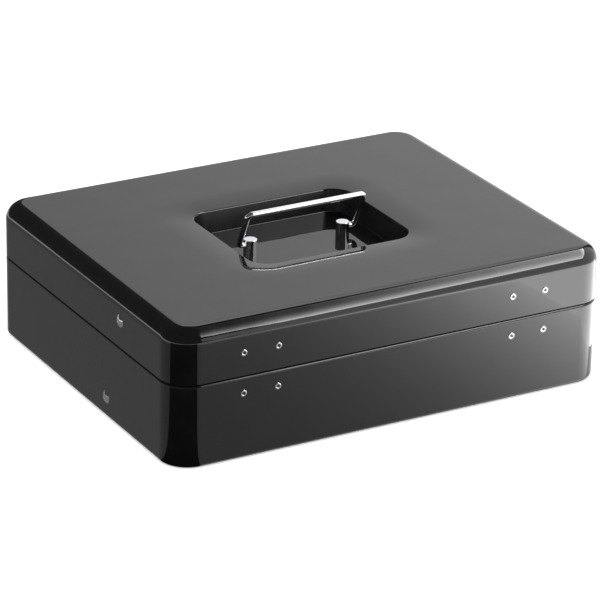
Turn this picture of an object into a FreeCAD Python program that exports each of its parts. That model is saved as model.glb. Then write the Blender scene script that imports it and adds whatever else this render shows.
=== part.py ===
import FreeCAD, Part
import math
import os

# Sheet-steel cash box with a swing-up coin tray, in millimetres.
# +Z is up and the origin is the middle of the resting face.
# -Y is the lock side (front), +Y is the hinge side (rear).

V = FreeCAD.Vector

# ---------------------------------------------------------------- case
WIDTH = 300.0           # outside, along X
DEPTH = 243.0           # outside, along Y
HEIGHT = 88.0           # resting face to lid top
SHEET = 0.8             # case sheet thickness
CORNER_R = 18.5         # upright corners, outside
LID_TOP_R = 10.4        # lid top edge, outside
BASE_FOOT_R = 3.0       # base bottom edge, outside
SHOULDER_Z = 52.9       # top of the base's rounded shoulder
SHOULDER_R = 1.8        # rounding of that shoulder
JOGGLE = 1.8            # step inwards of the rim that stands inside the lid
RIM_Z = 56.8            # top of that rim
LID_EDGE_Z = 53.6       # lower edge of the lid

REAR_IN = DEPTH / 2 - SHEET
SIDE_IN = WIDTH / 2 - SHEET
FRONT_IN = -REAR_IN

# ---------------------------------------------------------------- handle pocket in the lid
POCKET_Y = 2.6          # middle of the pocket
POCKET_FLOOR_Z = 72.6
POCKET_TOP = (111.6, 93.9)      # mouth, where the walls would meet the lid top
POCKET_BOTTOM = (104.6, 86.9)   # floor
POCKET_TOP_R = 14.0
POCKET_BOTTOM_R = 11.0
POCKET_FLOOR_FILLET = 2.0
POCKET_LIP_R = 1.2
DISH = (16.0, 1.2)              # how far and how deep the lid top dips towards the pocket

# ---------------------------------------------------------------- handle
POST_X = 32.8
POST_Y = -2.2
POST_R = 4.3
POST_TOP_Z = 81.8
PIVOT_Z = 78.6
BAIL_R = 1.8
BAIL_X = 41.0                   # middle of each leg
BAIL_REACH = 27.2               # pivot to the middle of the grip
BAIL_LEAN = 26.0                # degrees from upright, towards +Y
BAIL_FOOT_BEND = 2.6
BAIL_GRIP_BEND = 3.0
BAIL_END_X = 30.2
BAIL_CLEARANCE = 0.05
BAIL_END_GAP = 0.3              # between the wire's end and the bottom of its hole
POST_CHAMFER = 0.4
POST_SCREW_R = 2.0
POST_WASHER = (4.5, 0.8)        # radius, thickness
POST_SCREW_HEAD = (3.5, 1.9)    # radius, height
POST_SCREW_IN = 3.0             # screw's reach into the post
POST_THREAD = 3.6               # depth of the post's tapped hole
SCREW_SLOT = (2.2, 0.4)         # half length, half width of a cross slot
SCREW_SLOT_DEPTH = 0.8

# ---------------------------------------------------------------- hinges
HINGE_Y = 118.0
HINGE_Z = 48.5
HINGE_XS = (-92.5, 92.5)
LEAF = 1.0                      # leaf thickness
LEAF_HALF = 23.0
PIN_R = 1.25
KNUCKLE_R = 2.3
PIN_CLEARANCE = 0.05
PIN_HEAD = (1.8, 0.8)           # radius, height
WINDOW_DROP = 3.2               # base leaf's window, below the hinge line
LEAF_TOP = 0.8                  # base leaf's top, above the hinge line
STRAP_HALF = 10.0               # half width of the lid leaf's knuckle and gooseneck
KNUCKLE_GAP = 0.3
NECK_R = 6.2                    # inside radius of the gooseneck
NECK_END = 68.0                 # degrees above +Y where the gooseneck meets the lid
BASE_LEAF_LOW_Z = 35.5
NOTCH_PLAY = 1.0                # rim notch past each end of a leaf
LID_LEAF_HIGH_Z = 74.0
RIVET_PITCH = 23.0
BASE_RIVET_Z = 42.3
LID_RIVET_Z = 68.2
RIVET_SHANK_R = 1.5
RIVET_HEAD = (2.3, 0.5)         # outer ring: radius, height
RIVET_BORE_R = 0.9
RIVET_TAIL = (2.7, 0.9)         # clinched end inside

# ---------------------------------------------------------------- coin tray and its linkage (Y, Z)
ARM_FOOT = (33.7, 13.8)         # arm pivot on the base
ARM_HEAD = (-31.0, 26.5)        # arm pivot on the tray
LINK_LID = (52.4, 70.6)         # link pivot on the lid
LINK_TRAY = (41.9, 46.92)       # tray stud in the link's slot
LINK_SLOT = (0.9, 2.1)          # slot's run before and past the stud's resting place
ARM_THICK = 1.5
ARM_OUT_X = 146.1               # outer face of arms and links
ARM_HALF = 5.5
LINK_HALF = 5.0
STUD_R = 2.0
STUD_CLEARANCE = 0.08
STUD_HEAD = (3.4, 1.0)          # clinched heads: radius, height
STUD_HEAD_IN_TRAY = (2.6, 0.8)
CASE_HEAD = (3.9, 1.5)          # domed heads outside the case
SPACER_R = 4.0
BAR_PLAY = 0.05                 # gap beside each bar
TRAY_X = 143.5                  # outer face of the tray's side walls
TRAY_Y = (-103.0, 56.0)
TRAY_Z = (22.0, 57.0)
TRAY_SHEET = 0.8
TRAY_R = 8.0
TRAY_FOOT_R = 1.8
TRAY_SPLIT_Y = -28.0            # long divider
DIVIDER_TOP_Z = 53.0
DIVIDER_TOP_R = 4.0
FRONT_CELLS = 5
REAR_CELLS = 3

# ---------------------------------------------------------------- lock
LOCK_Z = 65.6
LOCK_FLANGE = (9.5, 1.8)        # radius, thickness
LOCK_FLANGE_R = 0.9             # rounding of its rim
LOCK_BARREL_R = 7.9
LOCK_BARREL_FLAT = 6.8          # half width across the flats
LOCK_REAR_Y = -109.5
CLIP_R = 11.0
CLIP_SEAT_R = 7.2
CLIP_THICK = 1.2
LOCK_NOTCH_HALF = 12.0          # half width of the gap in the base's rim under the lock
PLUG_R = 5.0
PLUG_CLEARANCE = 0.05
PLUG_STEP = 0.3                 # plug sits this far in from the flange, and out past the barrel
KEYWAY = (1.3, 7.0, 9.0)        # width, height, depth
WARD = (0.8, 0.6)               # side groove of the keyway: depth, half height
TAIL = (5.6, 1.6)               # square tail: side, length
CAM_REACH = 24.0
CAM_HALF = 4.5
CAM_THICK = 1.6
CAM_HUB_R = 6.0
CAM_SCREW_R = 1.5
CAM_SCREW_HOLE = 3.3            # depth of the tapped hole in the plug
CAM_SCREW_IN = 2.8              # screw's reach into it
CAM_SCREW_HEAD = (4.2, 1.5)     # radius, height
KEEPER_X = (12.6, 26.0)
KEEPER = 1.5                    # strip thickness
KEEPER_FOOT_Z = (34.0, 50.5)
KEEPER_STAND_Y = -118.3         # front of the upright, clear of the rim
KEEPER_BEND = 1.3               # outside rounding where the upright turns into the ledge
KEEPER_LEDGE_Z = 70.7
KEEPER_END_Y = -106.5

EXTRA = 2.0                     # how far cutting solids run past what they cut
TINY = 1e-4                     # tolerance for finding an edge by its place


def save(name, shape):
    """Write one sub-part; its file name is its node name."""
    shape.exportStep("parts/" + name + ".step")


def together(shapes):
    return Part.makeCompound(shapes)


def rounded_wire(w, d, r, z, y_mid=0.0):
    """A rounded rectangle w by d about (0, y_mid), at height z."""
    hx = w / 2
    hy = d / 2
    k = r * (1 - math.sqrt(0.5))
    edges = []
    corners = [(1, 1), (-1, 1), (-1, -1), (1, -1)]
    ends = []
    for sx, sy in corners:
        on_x = V(sx * (hx - r), y_mid + sy * hy, z)
        on_y = V(sx * hx, y_mid + sy * (hy - r), z)
        mid = V(sx * (hx - k), y_mid + sy * (hy - k), z)
        first, last = (on_y, on_x) if sx * sy > 0 else (on_x, on_y)
        ends.append((first, last))
        edges.append(Part.Arc(first, mid, last).toShape())
    for i in range(4):
        start = ends[i][1]
        stop = ends[(i + 1) % 4][0]
        edges.append(Part.makeLine(start, stop))
    return Part.Wire(Part.__sortEdges__(edges))


def rounded_prism(w, d, r, z0, z1, y_mid=0.0):
    face = Part.Face(rounded_wire(w, d, r, z0, y_mid))
    return face.extrude(V(0, 0, z1 - z0))


def edges_at(shape, z, x_max=1e9, y_max=1e9):
    """Edges that lie wholly at height z and inside a window about the middle."""
    found = []
    for edge in shape.Edges:
        b = edge.BoundBox
        level = abs(b.ZMin - z) < TINY and abs(b.ZMax - z) < TINY
        inside = max(abs(b.XMin), abs(b.XMax)) < x_max and max(abs(b.YMin), abs(b.YMax)) < y_max
        if level and inside:
            found.append(edge)
    return found


def box(x, y, z):
    """A box from three (low, high) pairs."""
    return Part.makeBox(x[1] - x[0], y[1] - y[0], z[1] - z[0], V(x[0], y[0], z[0]))


def disc(r, y, z, x0, x1):
    """A cylinder along X from x0 to x1."""
    return Part.makeCylinder(r, abs(x1 - x0), V(min(x0, x1), y, z), V(1, 0, 0))


def rod_y(r, x, z, y0, y1):
    """A cylinder along Y from y0 to y1."""
    return Part.makeCylinder(r, y1 - y0, V(x, y0, z), V(0, 1, 0))


def ring_section(points, axis_point, axis):
    """Revolve a closed outline, already placed in space, about an axis."""
    wire = Part.makePolygon(points + [points[0]])
    return Part.Face(wire).revolve(axis_point, axis, 360)


def dome(r, h, base, axis):
    """A low domed head of radius r and height h, its flat side at base."""
    out = V(0, 0, 1) if abs(axis.z) < 0.5 else V(1, 0, 0)
    ball = (r * r + h * h) / (2 * h)
    half = math.asin(r / ball) / 2
    edge = base + out * r
    top = base + axis * h
    mid = base + axis * (h - ball + ball * math.cos(half)) + out * (ball * math.sin(half))
    edges = [Part.makeLine(base, edge), Part.Arc(edge, mid, top).toShape(), Part.makeLine(top, base)]
    return Part.Face(Part.Wire(edges)).revolve(base, axis, 360)


# ---------------------------------------------------------------- base
def base_pan():
    outer = rounded_prism(WIDTH, DEPTH, CORNER_R, 0, SHOULDER_Z)
    outer = outer.makeFillet(BASE_FOOT_R, edges_at(outer, 0))
    outer = outer.makeFillet(SHOULDER_R, edges_at(outer, SHOULDER_Z))
    rim_w = WIDTH - 2 * JOGGLE
    rim_d = DEPTH - 2 * JOGGLE
    rim = rounded_prism(rim_w, rim_d, CORNER_R - JOGGLE, SHOULDER_Z - SHEET, RIM_Z)
    hollow_r = CORNER_R - SHEET
    hollow = rounded_prism(WIDTH - 2 * SHEET, DEPTH - 2 * SHEET, hollow_r, SHEET, SHOULDER_Z - SHEET)
    hollow = hollow.makeFillet(BASE_FOOT_R - SHEET, edges_at(hollow, SHEET))
    mouth_r = CORNER_R - JOGGLE - SHEET
    mouth_z = (SHOULDER_Z - SHEET - EXTRA, RIM_Z + EXTRA)
    mouth = rounded_prism(rim_w - 2 * SHEET, rim_d - 2 * SHEET, mouth_r, mouth_z[0], mouth_z[1])
    pan = outer.fuse(rim).cut(hollow).cut(mouth)
    notch_y = REAR_IN - JOGGLE - SHEET - EXTRA
    for x in HINGE_XS:
        notch_x = (x - LEAF_HALF - NOTCH_PLAY, x + LEAF_HALF + NOTCH_PLAY)
        pan = pan.cut(box(notch_x, (notch_y, DEPTH / 2 + EXTRA), (SHOULDER_Z, RIM_Z + EXTRA)))
        # the step inside the shoulder is cleared where the base leaf stands against the wall
        pan = pan.cut(box(notch_x, (notch_y, REAR_IN), (SHOULDER_Z - 2 * SHEET, SHOULDER_Z)))
        for dx in (-RIVET_PITCH / 2, RIVET_PITCH / 2):
            pan = pan.cut(rod_y(RIVET_SHANK_R, x + dx, BASE_RIVET_Z, REAR_IN - EXTRA, DEPTH / 2 + EXTRA))
    lock_x = (-LOCK_NOTCH_HALF, LOCK_NOTCH_HALF)
    pan = pan.cut(box(lock_x, (-DEPTH / 2, -notch_y), (SHOULDER_Z, RIM_Z + EXTRA)))
    for side in (-1, 1):
        wall = (side * (SIDE_IN - EXTRA), side * (WIDTH / 2 + EXTRA))
        pan = pan.cut(disc(STUD_R, ARM_FOOT[0], ARM_FOOT[1], wall[0], wall[1]))
    return pan.removeSplitter()


def hinge_rivet(x, z):
    """Tubular rivet along Y: a low ring outside, a clinched head on the leaf inside."""
    out = DEPTH / 2
    leaf_face = REAR_IN - LEAF
    shank = rod_y(RIVET_SHANK_R, x, z, leaf_face, out)
    head = dome(RIVET_HEAD[0], RIVET_HEAD[1], V(x, out, z), V(0, 1, 0))
    tail = dome(RIVET_TAIL[0], RIVET_TAIL[1], V(x, leaf_face, z), V(0, -1, 0))
    bore = rod_y(RIVET_BORE_R, x, z, leaf_face - EXTRA, out + EXTRA)
    return shank.fuse([head, tail]).cut(bore)


def hinge_rivets(z):
    shapes = []
    for x in HINGE_XS:
        for dx in (-RIVET_PITCH / 2, RIVET_PITCH / 2):
            shapes.append(hinge_rivet(x + dx, z))
    return together(shapes)


def knuckle(x0, x1, bore_r):
    ring = disc(KNUCKLE_R, HINGE_Y, HINGE_Z, x0, x1)
    return ring.cut(disc(bore_r, HINGE_Y, HINGE_Z, x0 - EXTRA, x1 + EXTRA))


def rivet_holes(leaf, x, z):
    for dx in (-RIVET_PITCH / 2, RIVET_PITCH / 2):
        leaf = leaf.cut(rod_y(RIVET_SHANK_R, x + dx, z, REAR_IN - LEAF - EXTRA, REAR_IN + EXTRA))
    return leaf


def hinge_base_leaf(x):
    """Plate riveted to the base's rear wall, with a knuckle at each end."""
    plate_z = (BASE_LEAF_LOW_Z, HINGE_Z + LEAF_TOP)
    plate = box((x - LEAF_HALF, x + LEAF_HALF), (REAR_IN - LEAF, REAR_IN), plate_z)
    inner = STRAP_HALF + KNUCKLE_GAP
    window_z = (HINGE_Z - WINDOW_DROP, HINGE_Z + EXTRA)
    window = box((x - inner, x + inner), (REAR_IN - LEAF - EXTRA, REAR_IN + EXTRA), window_z)
    plate = plate.cut(window)
    for side in (-1, 1):
        ends = sorted((x + side * inner, x + side * LEAF_HALF))
        plate = plate.fuse(disc(KNUCKLE_R, HINGE_Y, HINGE_Z, ends[0], ends[1]))
    plate = plate.cut(disc(PIN_R, HINGE_Y, HINGE_Z, x - LEAF_HALF - EXTRA, x + LEAF_HALF + EXTRA))
    return rivet_holes(plate, x, BASE_RIVET_Z).removeSplitter()


def hinge_lid_leaf(x):
    """Plate riveted to the lid's rear wall, with a gooseneck round the rim to one knuckle."""
    plate_z = (HINGE_Z + NECK_R + LEAF, LID_LEAF_HIGH_Z)
    plate = box((x - LEAF_HALF, x + LEAF_HALF), (REAR_IN - LEAF, REAR_IN), plate_z)
    span = (x - STRAP_HALF, x + STRAP_HALF)
    neck = disc(NECK_R + LEAF, HINGE_Y, HINGE_Z, span[0], span[1])
    neck = neck.cut(disc(NECK_R, HINGE_Y, HINGE_Z, span[0] - EXTRA, span[1] + EXTRA))
    reach = NECK_R + LEAF + EXTRA
    past = (span[0] - EXTRA, span[1] + EXTRA)
    neck = neck.cut(box(past, (HINGE_Y - reach, HINGE_Y + reach), (HINGE_Z - reach, HINGE_Z)))
    end = math.radians(NECK_END)
    far = V(x, HINGE_Y + reach * 2, HINGE_Z)
    tip = V(x, HINGE_Y + reach * 2 * math.cos(end), HINGE_Z + reach * 2 * math.sin(end))
    wedge = Part.Face(Part.makePolygon([V(x, HINGE_Y, HINGE_Z), far, tip, V(x, HINGE_Y, HINGE_Z)]))
    wedge.translate(V(past[0] - x, 0, 0))
    neck = neck.cut(wedge.extrude(V(past[1] - past[0], 0, 0)))
    riser = box(span, (REAR_IN - LEAF, REAR_IN), (HINGE_Z + NECK_R, HINGE_Z + NECK_R + LEAF))
    arm_y = (HINGE_Y - NECK_R - LEAF, HINGE_Y - (KNUCKLE_R + PIN_R) / 2)
    arm = box(span, arm_y, (HINGE_Z - LEAF / 2, HINGE_Z + LEAF / 2))
    leaf = plate.fuse([neck, riser, arm, disc(KNUCKLE_R, HINGE_Y, HINGE_Z, span[0], span[1])])
    leaf = leaf.cut(disc(PIN_R + PIN_CLEARANCE, HINGE_Y, HINGE_Z, span[0] - EXTRA, span[1] + EXTRA))
    return rivet_holes(leaf, x, LID_RIVET_Z).removeSplitter()


def hinge_pin(x):
    """Plain pin with a small domed end past each outer knuckle."""
    shapes = [disc(PIN_R, HINGE_Y, HINGE_Z, x - LEAF_HALF, x + LEAF_HALF)]
    for side in (-1, 1):
        end = V(x + side * LEAF_HALF, HINGE_Y, HINGE_Z)
        shapes.append(dome(PIN_HEAD[0], PIN_HEAD[1], end, V(side, 0, 0)))
    return shapes[0].fuse(shapes[1:])


def lock_keeper():
    """Bracket welded inside the base's front wall; its ledge hangs over the locked cam."""
    foot = box(KEEPER_X, (FRONT_IN, FRONT_IN + KEEPER), KEEPER_FOOT_Z)
    stand_y = (KEEPER_STAND_Y, KEEPER_STAND_Y + KEEPER)
    step_z = KEEPER_FOOT_Z[1] - KEEPER
    step = box(KEEPER_X, (FRONT_IN, stand_y[1]), (step_z, KEEPER_FOOT_Z[1]))
    stand = box(KEEPER_X, stand_y, (step_z, KEEPER_LEDGE_Z + KEEPER))
    ledge = box(KEEPER_X, (stand_y[0], KEEPER_END_Y), (KEEPER_LEDGE_Z, KEEPER_LEDGE_Z + KEEPER))
    bracket = foot.fuse([step, stand, ledge]).removeSplitter()
    bend = [e for e in bracket.Edges if on_line(e, stand_y[0], KEEPER_LEDGE_Z + KEEPER)]
    return bracket.makeFillet(KEEPER_BEND, bend)


def on_line(edge, y, z):
    """True for a straight edge along X at this Y and Z."""
    b = edge.BoundBox
    return max(abs(b.YMin - y), abs(b.YMax - y), abs(b.ZMin - z), abs(b.ZMax - z)) < TINY


# ---------------------------------------------------------------- lid
def lid_shell():
    outer = rounded_prism(WIDTH, DEPTH, CORNER_R, LID_EDGE_Z, HEIGHT)
    outer = outer.makeFillet(LID_TOP_R, edges_at(outer, HEIGHT))
    inner_top = HEIGHT - SHEET
    inner_z = (LID_EDGE_Z - EXTRA, inner_top)
    inner = rounded_prism(WIDTH - 2 * SHEET, DEPTH - 2 * SHEET, CORNER_R - SHEET, inner_z[0], inner_z[1])
    inner = inner.makeFillet(LID_TOP_R - SHEET, edges_at(inner, inner_top))

    lip_z = HEIGHT - DISH[1]
    outer = outer.cut(dish(0.0)).cut(pocket(0.0))
    inner = inner.cut(dish(SHEET)).cut(pocket(SHEET))
    outer = outer.makeFillet(POCKET_LIP_R, edges_at(outer, lip_z, POCKET_TOP[0], POCKET_TOP[1]))
    lip = edges_at(inner, lip_z - SHEET, POCKET_TOP[0], POCKET_TOP[1])
    inner = inner.makeFillet(POCKET_LIP_R - SHEET, lip)
    shell = outer.cut(inner)

    for x in HINGE_XS:
        for dx in (-RIVET_PITCH / 2, RIVET_PITCH / 2):
            shell = shell.cut(rod_y(RIVET_SHANK_R, x + dx, LID_RIVET_Z, REAR_IN - EXTRA, DEPTH / 2 + EXTRA))
    for side in (-1, 1):
        wall = (side * (SIDE_IN - EXTRA), side * (WIDTH / 2 + EXTRA))
        hole = disc(STUD_R, LINK_LID[0], LINK_LID[1], wall[0], wall[1])
        hole_foot = V(side * POST_X, POST_Y, POCKET_FLOOR_Z - EXTRA)
        shell = shell.cut([hole, Part.makeCylinder(POST_SCREW_R, 2 * EXTRA, hole_foot)])
    return shell.cut(lock_barrel(-DEPTH / 2 - EXTRA, FRONT_IN + EXTRA))


def pocket_outline(z, grow, spread=0.0, at=None):
    """Outline of the pocket's walls at height z, grown by the sheet and spread sideways."""
    tall = HEIGHT - POCKET_FLOOR_Z
    rise = (z - POCKET_FLOOR_Z) / tall
    slope = (POCKET_TOP[0] - POCKET_BOTTOM[0]) / 2 / tall
    out = grow * math.sqrt(1 + slope * slope) + spread
    w = POCKET_BOTTOM[0] + (POCKET_TOP[0] - POCKET_BOTTOM[0]) * rise + 2 * out
    d = POCKET_BOTTOM[1] + (POCKET_TOP[1] - POCKET_BOTTOM[1]) * rise + 2 * out
    r = POCKET_BOTTOM_R + (POCKET_TOP_R - POCKET_BOTTOM_R) * rise + grow + spread
    return rounded_wire(w, d, r, z if at is None else at, POCKET_Y)


def pocket(grow):
    """The sunk handle pocket as a solid: grow 0 is its hollow, grow SHEET is its outside."""
    low_z = POCKET_FLOOR_Z - grow
    outlines = [pocket_outline(low_z, grow), pocket_outline(HEIGHT + EXTRA, grow)]
    solid = Part.makeLoft(outlines, True, True)
    return solid.makeFillet(POCKET_FLOOR_FILLET + grow, edges_at(solid, low_z))


def dish(grow):
    """The shallow dip round the pocket, as a solid that runs a little past the lid top."""
    run, drop = DISH
    past = 1.1
    lip_z = HEIGHT - drop - grow
    rim = pocket_outline(HEIGHT - drop, 0, run * past, lip_z + drop * past)
    return Part.makeLoft([pocket_outline(lip_z, grow), rim], True, True)


def handle_post(side):
    """Chrome post; the bail's end turns in its cross hole."""
    x = side * POST_X
    profile = [
        (0, POCKET_FLOOR_Z), (POST_R, POCKET_FLOOR_Z), (POST_R, POST_TOP_Z - POST_CHAMFER),
        (POST_R - POST_CHAMFER, POST_TOP_Z), (0, POST_TOP_Z),
    ]
    points = [V(x + r, POST_Y, z) for r, z in profile]
    post = ring_section(points, V(x, POST_Y, 0), V(0, 0, 1))
    mouth_x = side * (POST_X + POST_R + EXTRA)
    bottom_x = side * (BAIL_END_X - BAIL_END_GAP)
    cross = disc(BAIL_R + BAIL_CLEARANCE, POST_Y, PIVOT_Z, bottom_x, mouth_x)
    thread = Part.makeCylinder(POST_SCREW_R, POST_THREAD, V(x, POST_Y, POCKET_FLOOR_Z))
    return post.cut([cross, thread])


def post_washers():
    r, thick = POST_WASHER
    shapes = []
    for side in (-1, 1):
        foot = V(side * POST_X, POST_Y, POCKET_FLOOR_Z - SHEET - thick)
        shapes.append(Part.makeCylinder(r, thick, foot).cut(Part.makeCylinder(POST_SCREW_R, thick, foot)))
    return together(shapes)


def post_screws():
    """Pan-head screws up through the pocket floor into the posts."""
    seat = POCKET_FLOOR_Z - SHEET - POST_WASHER[1]
    r, tall = POST_SCREW_HEAD
    long, wide = SCREW_SLOT
    shapes = []
    for side in (-1, 1):
        at = V(side * POST_X, POST_Y, seat)
        shank = Part.makeCylinder(POST_SCREW_R, POCKET_FLOOR_Z + POST_SCREW_IN - seat, at)
        head = dome(r, tall, at, V(0, 0, -1))
        cut_z = (seat - tall - EXTRA, seat - tall + SCREW_SLOT_DEPTH)
        slot = box((at.x - long, at.x + long), (at.y - wide, at.y + wide), cut_z)
        cross = box((at.x - wide, at.x + wide), (at.y - long, at.y + long), cut_z)
        shapes.append(shank.fuse(head).cut([slot, cross]))
    return together(shapes)


def handle_bail():
    """Round wire bail: two turned-in ends, two legs and the grip, swept along lines and arcs."""
    lean = math.radians(BAIL_LEAN)
    up = V(0, math.sin(lean), math.cos(lean))
    pivot = V(0, POST_Y, PIVOT_Z)

    def at(x, s):
        return pivot + V(x, 0, 0) + up * s

    def corner(sx, s, radius, sign):
        """Arc from the X run to the leg run about the corner (BAIL_X, s)."""
        k = radius * (1 - math.sqrt(0.5))
        middle = at(sx * (BAIL_X - k), s + sign * k)
        return (at(sx * (BAIL_X - radius), s), middle, at(sx * BAIL_X, s + sign * radius))

    edges = []
    for sx in (-1, 1):
        foot = corner(sx, 0, BAIL_FOOT_BEND, 1)
        grip = corner(sx, BAIL_REACH, BAIL_GRIP_BEND, -1)
        edges.append(Part.makeLine(at(sx * BAIL_END_X, 0), foot[0]))
        edges.append(Part.Arc(foot[0], foot[1], foot[2]).toShape())
        edges.append(Part.makeLine(foot[2], grip[2]))
        edges.append(Part.Arc(grip[2], grip[1], grip[0]).toShape())
    straight = BAIL_X - BAIL_GRIP_BEND
    edges.append(Part.makeLine(at(-straight, BAIL_REACH), at(straight, BAIL_REACH)))
    path = Part.Wire(Part.__sortEdges__(edges))
    start = at(-BAIL_END_X, 0)
    circle = Part.Wire(Part.makeCircle(BAIL_R, start, V(1, 0, 0)))
    return path.makePipeShell([circle], True, False)


# ---------------------------------------------------------------- lock
def lock_barrel(y0, y1):
    """Double-flatted barrel outline along Y."""
    round_part = rod_y(LOCK_BARREL_R, 0, LOCK_Z, y0, y1)
    tall = (LOCK_Z - LOCK_BARREL_R, LOCK_Z + LOCK_BARREL_R)
    flats = box((-LOCK_BARREL_FLAT, LOCK_BARREL_FLAT), (y0, y1), tall)
    return round_part.common(flats)


def lock_housing():
    face_y = -DEPTH / 2 - LOCK_FLANGE[1]
    flange = rod_y(LOCK_FLANGE[0], 0, LOCK_Z, face_y, -DEPTH / 2)
    rim = [e for e in flange.Edges if abs(e.BoundBox.YMax - face_y) < TINY]
    flange = flange.makeFillet(LOCK_FLANGE_R, rim)
    barrel = lock_barrel(-DEPTH / 2, LOCK_REAR_Y)
    seat = rod_y(CLIP_R, 0, LOCK_Z, FRONT_IN, FRONT_IN + CLIP_THICK)
    seat = seat.cut(rod_y(CLIP_SEAT_R, 0, LOCK_Z, FRONT_IN - EXTRA, FRONT_IN + CLIP_THICK + EXTRA))
    bore = rod_y(PLUG_R + PLUG_CLEARANCE, 0, LOCK_Z, face_y - EXTRA, LOCK_REAR_Y + EXTRA)
    return flange.fuse(barrel).cut([seat, bore]).removeSplitter()


def lock_clip():
    """Horseshoe clip pushed up round the barrel behind the lid's front wall."""
    clip = rod_y(CLIP_R, 0, LOCK_Z, FRONT_IN, FRONT_IN + CLIP_THICK)
    through = (FRONT_IN - EXTRA, FRONT_IN + CLIP_THICK + EXTRA)
    slot = box((-CLIP_SEAT_R, CLIP_SEAT_R), through, (LOCK_Z, LOCK_Z + CLIP_R + EXTRA))
    hole = rod_y(CLIP_SEAT_R, 0, LOCK_Z, through[0], through[1])
    return clip.cut([slot, hole])


def lock_plug():
    front = -DEPTH / 2 - LOCK_FLANGE[1] + PLUG_STEP
    rear = LOCK_REAR_Y + PLUG_STEP
    plug = rod_y(PLUG_R, 0, LOCK_Z, front, rear)
    half = TAIL[0] / 2
    tail = box((-half, half), (rear, rear + TAIL[1]), (LOCK_Z - half, LOCK_Z + half))
    w, h, deep = KEYWAY
    way_y = (front - EXTRA, front + deep)
    slot = box((-w / 2, w / 2), way_y, (LOCK_Z - h / 2, LOCK_Z + h / 2))
    ward = box((-w / 2, w / 2 + WARD[0]), way_y, (LOCK_Z - WARD[1], LOCK_Z + WARD[1]))
    tapped = rod_y(CAM_SCREW_R, 0, LOCK_Z, rear - CAM_SCREW_HOLE, rear + TAIL[1] + EXTRA)
    return plug.fuse(tail).cut([slot, ward, tapped])


def lock_cam():
    """Flat cam, hanging down when unlocked; a quarter turn puts it under the keeper's ledge."""
    y0 = LOCK_REAR_Y + PLUG_STEP
    y1 = y0 + CAM_THICK
    hub = rod_y(CAM_HUB_R, 0, LOCK_Z, y0, y1)
    end = rod_y(CAM_HALF, 0, LOCK_Z - CAM_REACH + CAM_HALF, y0, y1)
    bar = box((-CAM_HALF, CAM_HALF), (y0, y1), (LOCK_Z - CAM_REACH + CAM_HALF, LOCK_Z))
    half = TAIL[0] / 2
    square = box((-half, half), (y0 - EXTRA, y1 + EXTRA), (LOCK_Z - half, LOCK_Z + half))
    return hub.fuse([end, bar]).removeSplitter().cut(square)


def lock_cam_screw():
    r, tall = CAM_SCREW_HEAD
    seat = LOCK_REAR_Y + PLUG_STEP + CAM_THICK
    head = dome(r, tall, V(0, seat, LOCK_Z), V(0, 1, 0))
    shank = rod_y(CAM_SCREW_R, 0, LOCK_Z, LOCK_REAR_Y + PLUG_STEP - CAM_SCREW_IN, seat)
    wide = SCREW_SLOT[1]
    slot = box((-r, r), (seat + tall - SCREW_SLOT_DEPTH, seat + tall + EXTRA), (LOCK_Z - wide, LOCK_Z + wide))
    return head.fuse(shank).cut(slot)


# ---------------------------------------------------------------- coin tray and linkage
def tray_pan():
    w = 2 * TRAY_X
    d = TRAY_Y[1] - TRAY_Y[0]
    mid = (TRAY_Y[0] + TRAY_Y[1]) / 2
    t = TRAY_SHEET
    outer = rounded_prism(w, d, TRAY_R, TRAY_Z[0], TRAY_Z[1], mid)
    outer = outer.makeFillet(TRAY_FOOT_R, edges_at(outer, TRAY_Z[0]))
    inner = rounded_prism(w - 2 * t, d - 2 * t, TRAY_R - t, TRAY_Z[0] + t, TRAY_Z[1] + EXTRA, mid)
    inner = inner.makeFillet(TRAY_FOOT_R - t, edges_at(inner, TRAY_Z[0] + t))
    pan = outer.cut(inner)
    for side in (-1, 1):
        for y, z in (ARM_HEAD, LINK_TRAY):
            pan = pan.cut(disc(STUD_R, y, z, side * (TRAY_X - EXTRA), side * (TRAY_X + EXTRA)))
    return pan


def divider(x, y):
    """One upright divider standing on the tray's floor, its top corners rounded."""
    plate = box(x, y, (TRAY_Z[0] + TRAY_SHEET, DIVIDER_TOP_Z))
    along_x = x[1] - x[0] > y[1] - y[0]
    top_edges = []
    for edge in plate.Edges:
        b = edge.BoundBox
        at_top = abs(b.ZMin - DIVIDER_TOP_Z) < TINY and b.ZLength < TINY
        short = (b.XLength if along_x else b.YLength) < TINY
        if at_top and short:
            top_edges.append(edge)
    return plate.makeFillet(DIVIDER_TOP_R, top_edges)


def tray_long_divider():
    inset = TRAY_FOOT_R
    half = TRAY_SHEET / 2
    return divider((-TRAY_X + inset, TRAY_X - inset), (TRAY_SPLIT_Y - half, TRAY_SPLIT_Y + half))


def tray_cross_dividers():
    """Cross dividers: coin cells in front of the long divider, larger cells behind it."""
    half = TRAY_SHEET / 2
    rows = (
        (FRONT_CELLS, TRAY_Y[0] + TRAY_FOOT_R, TRAY_SPLIT_Y - half),
        (REAR_CELLS, TRAY_SPLIT_Y + half, TRAY_Y[1] - TRAY_FOOT_R),
    )
    shapes = []
    for cells, y0, y1 in rows:
        for i in range(1, cells):
            x = -TRAY_X + 2 * TRAY_X * i / cells
            shapes.append(divider((x - half, x + half), (y0, y1)))
    return together(shapes)


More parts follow.
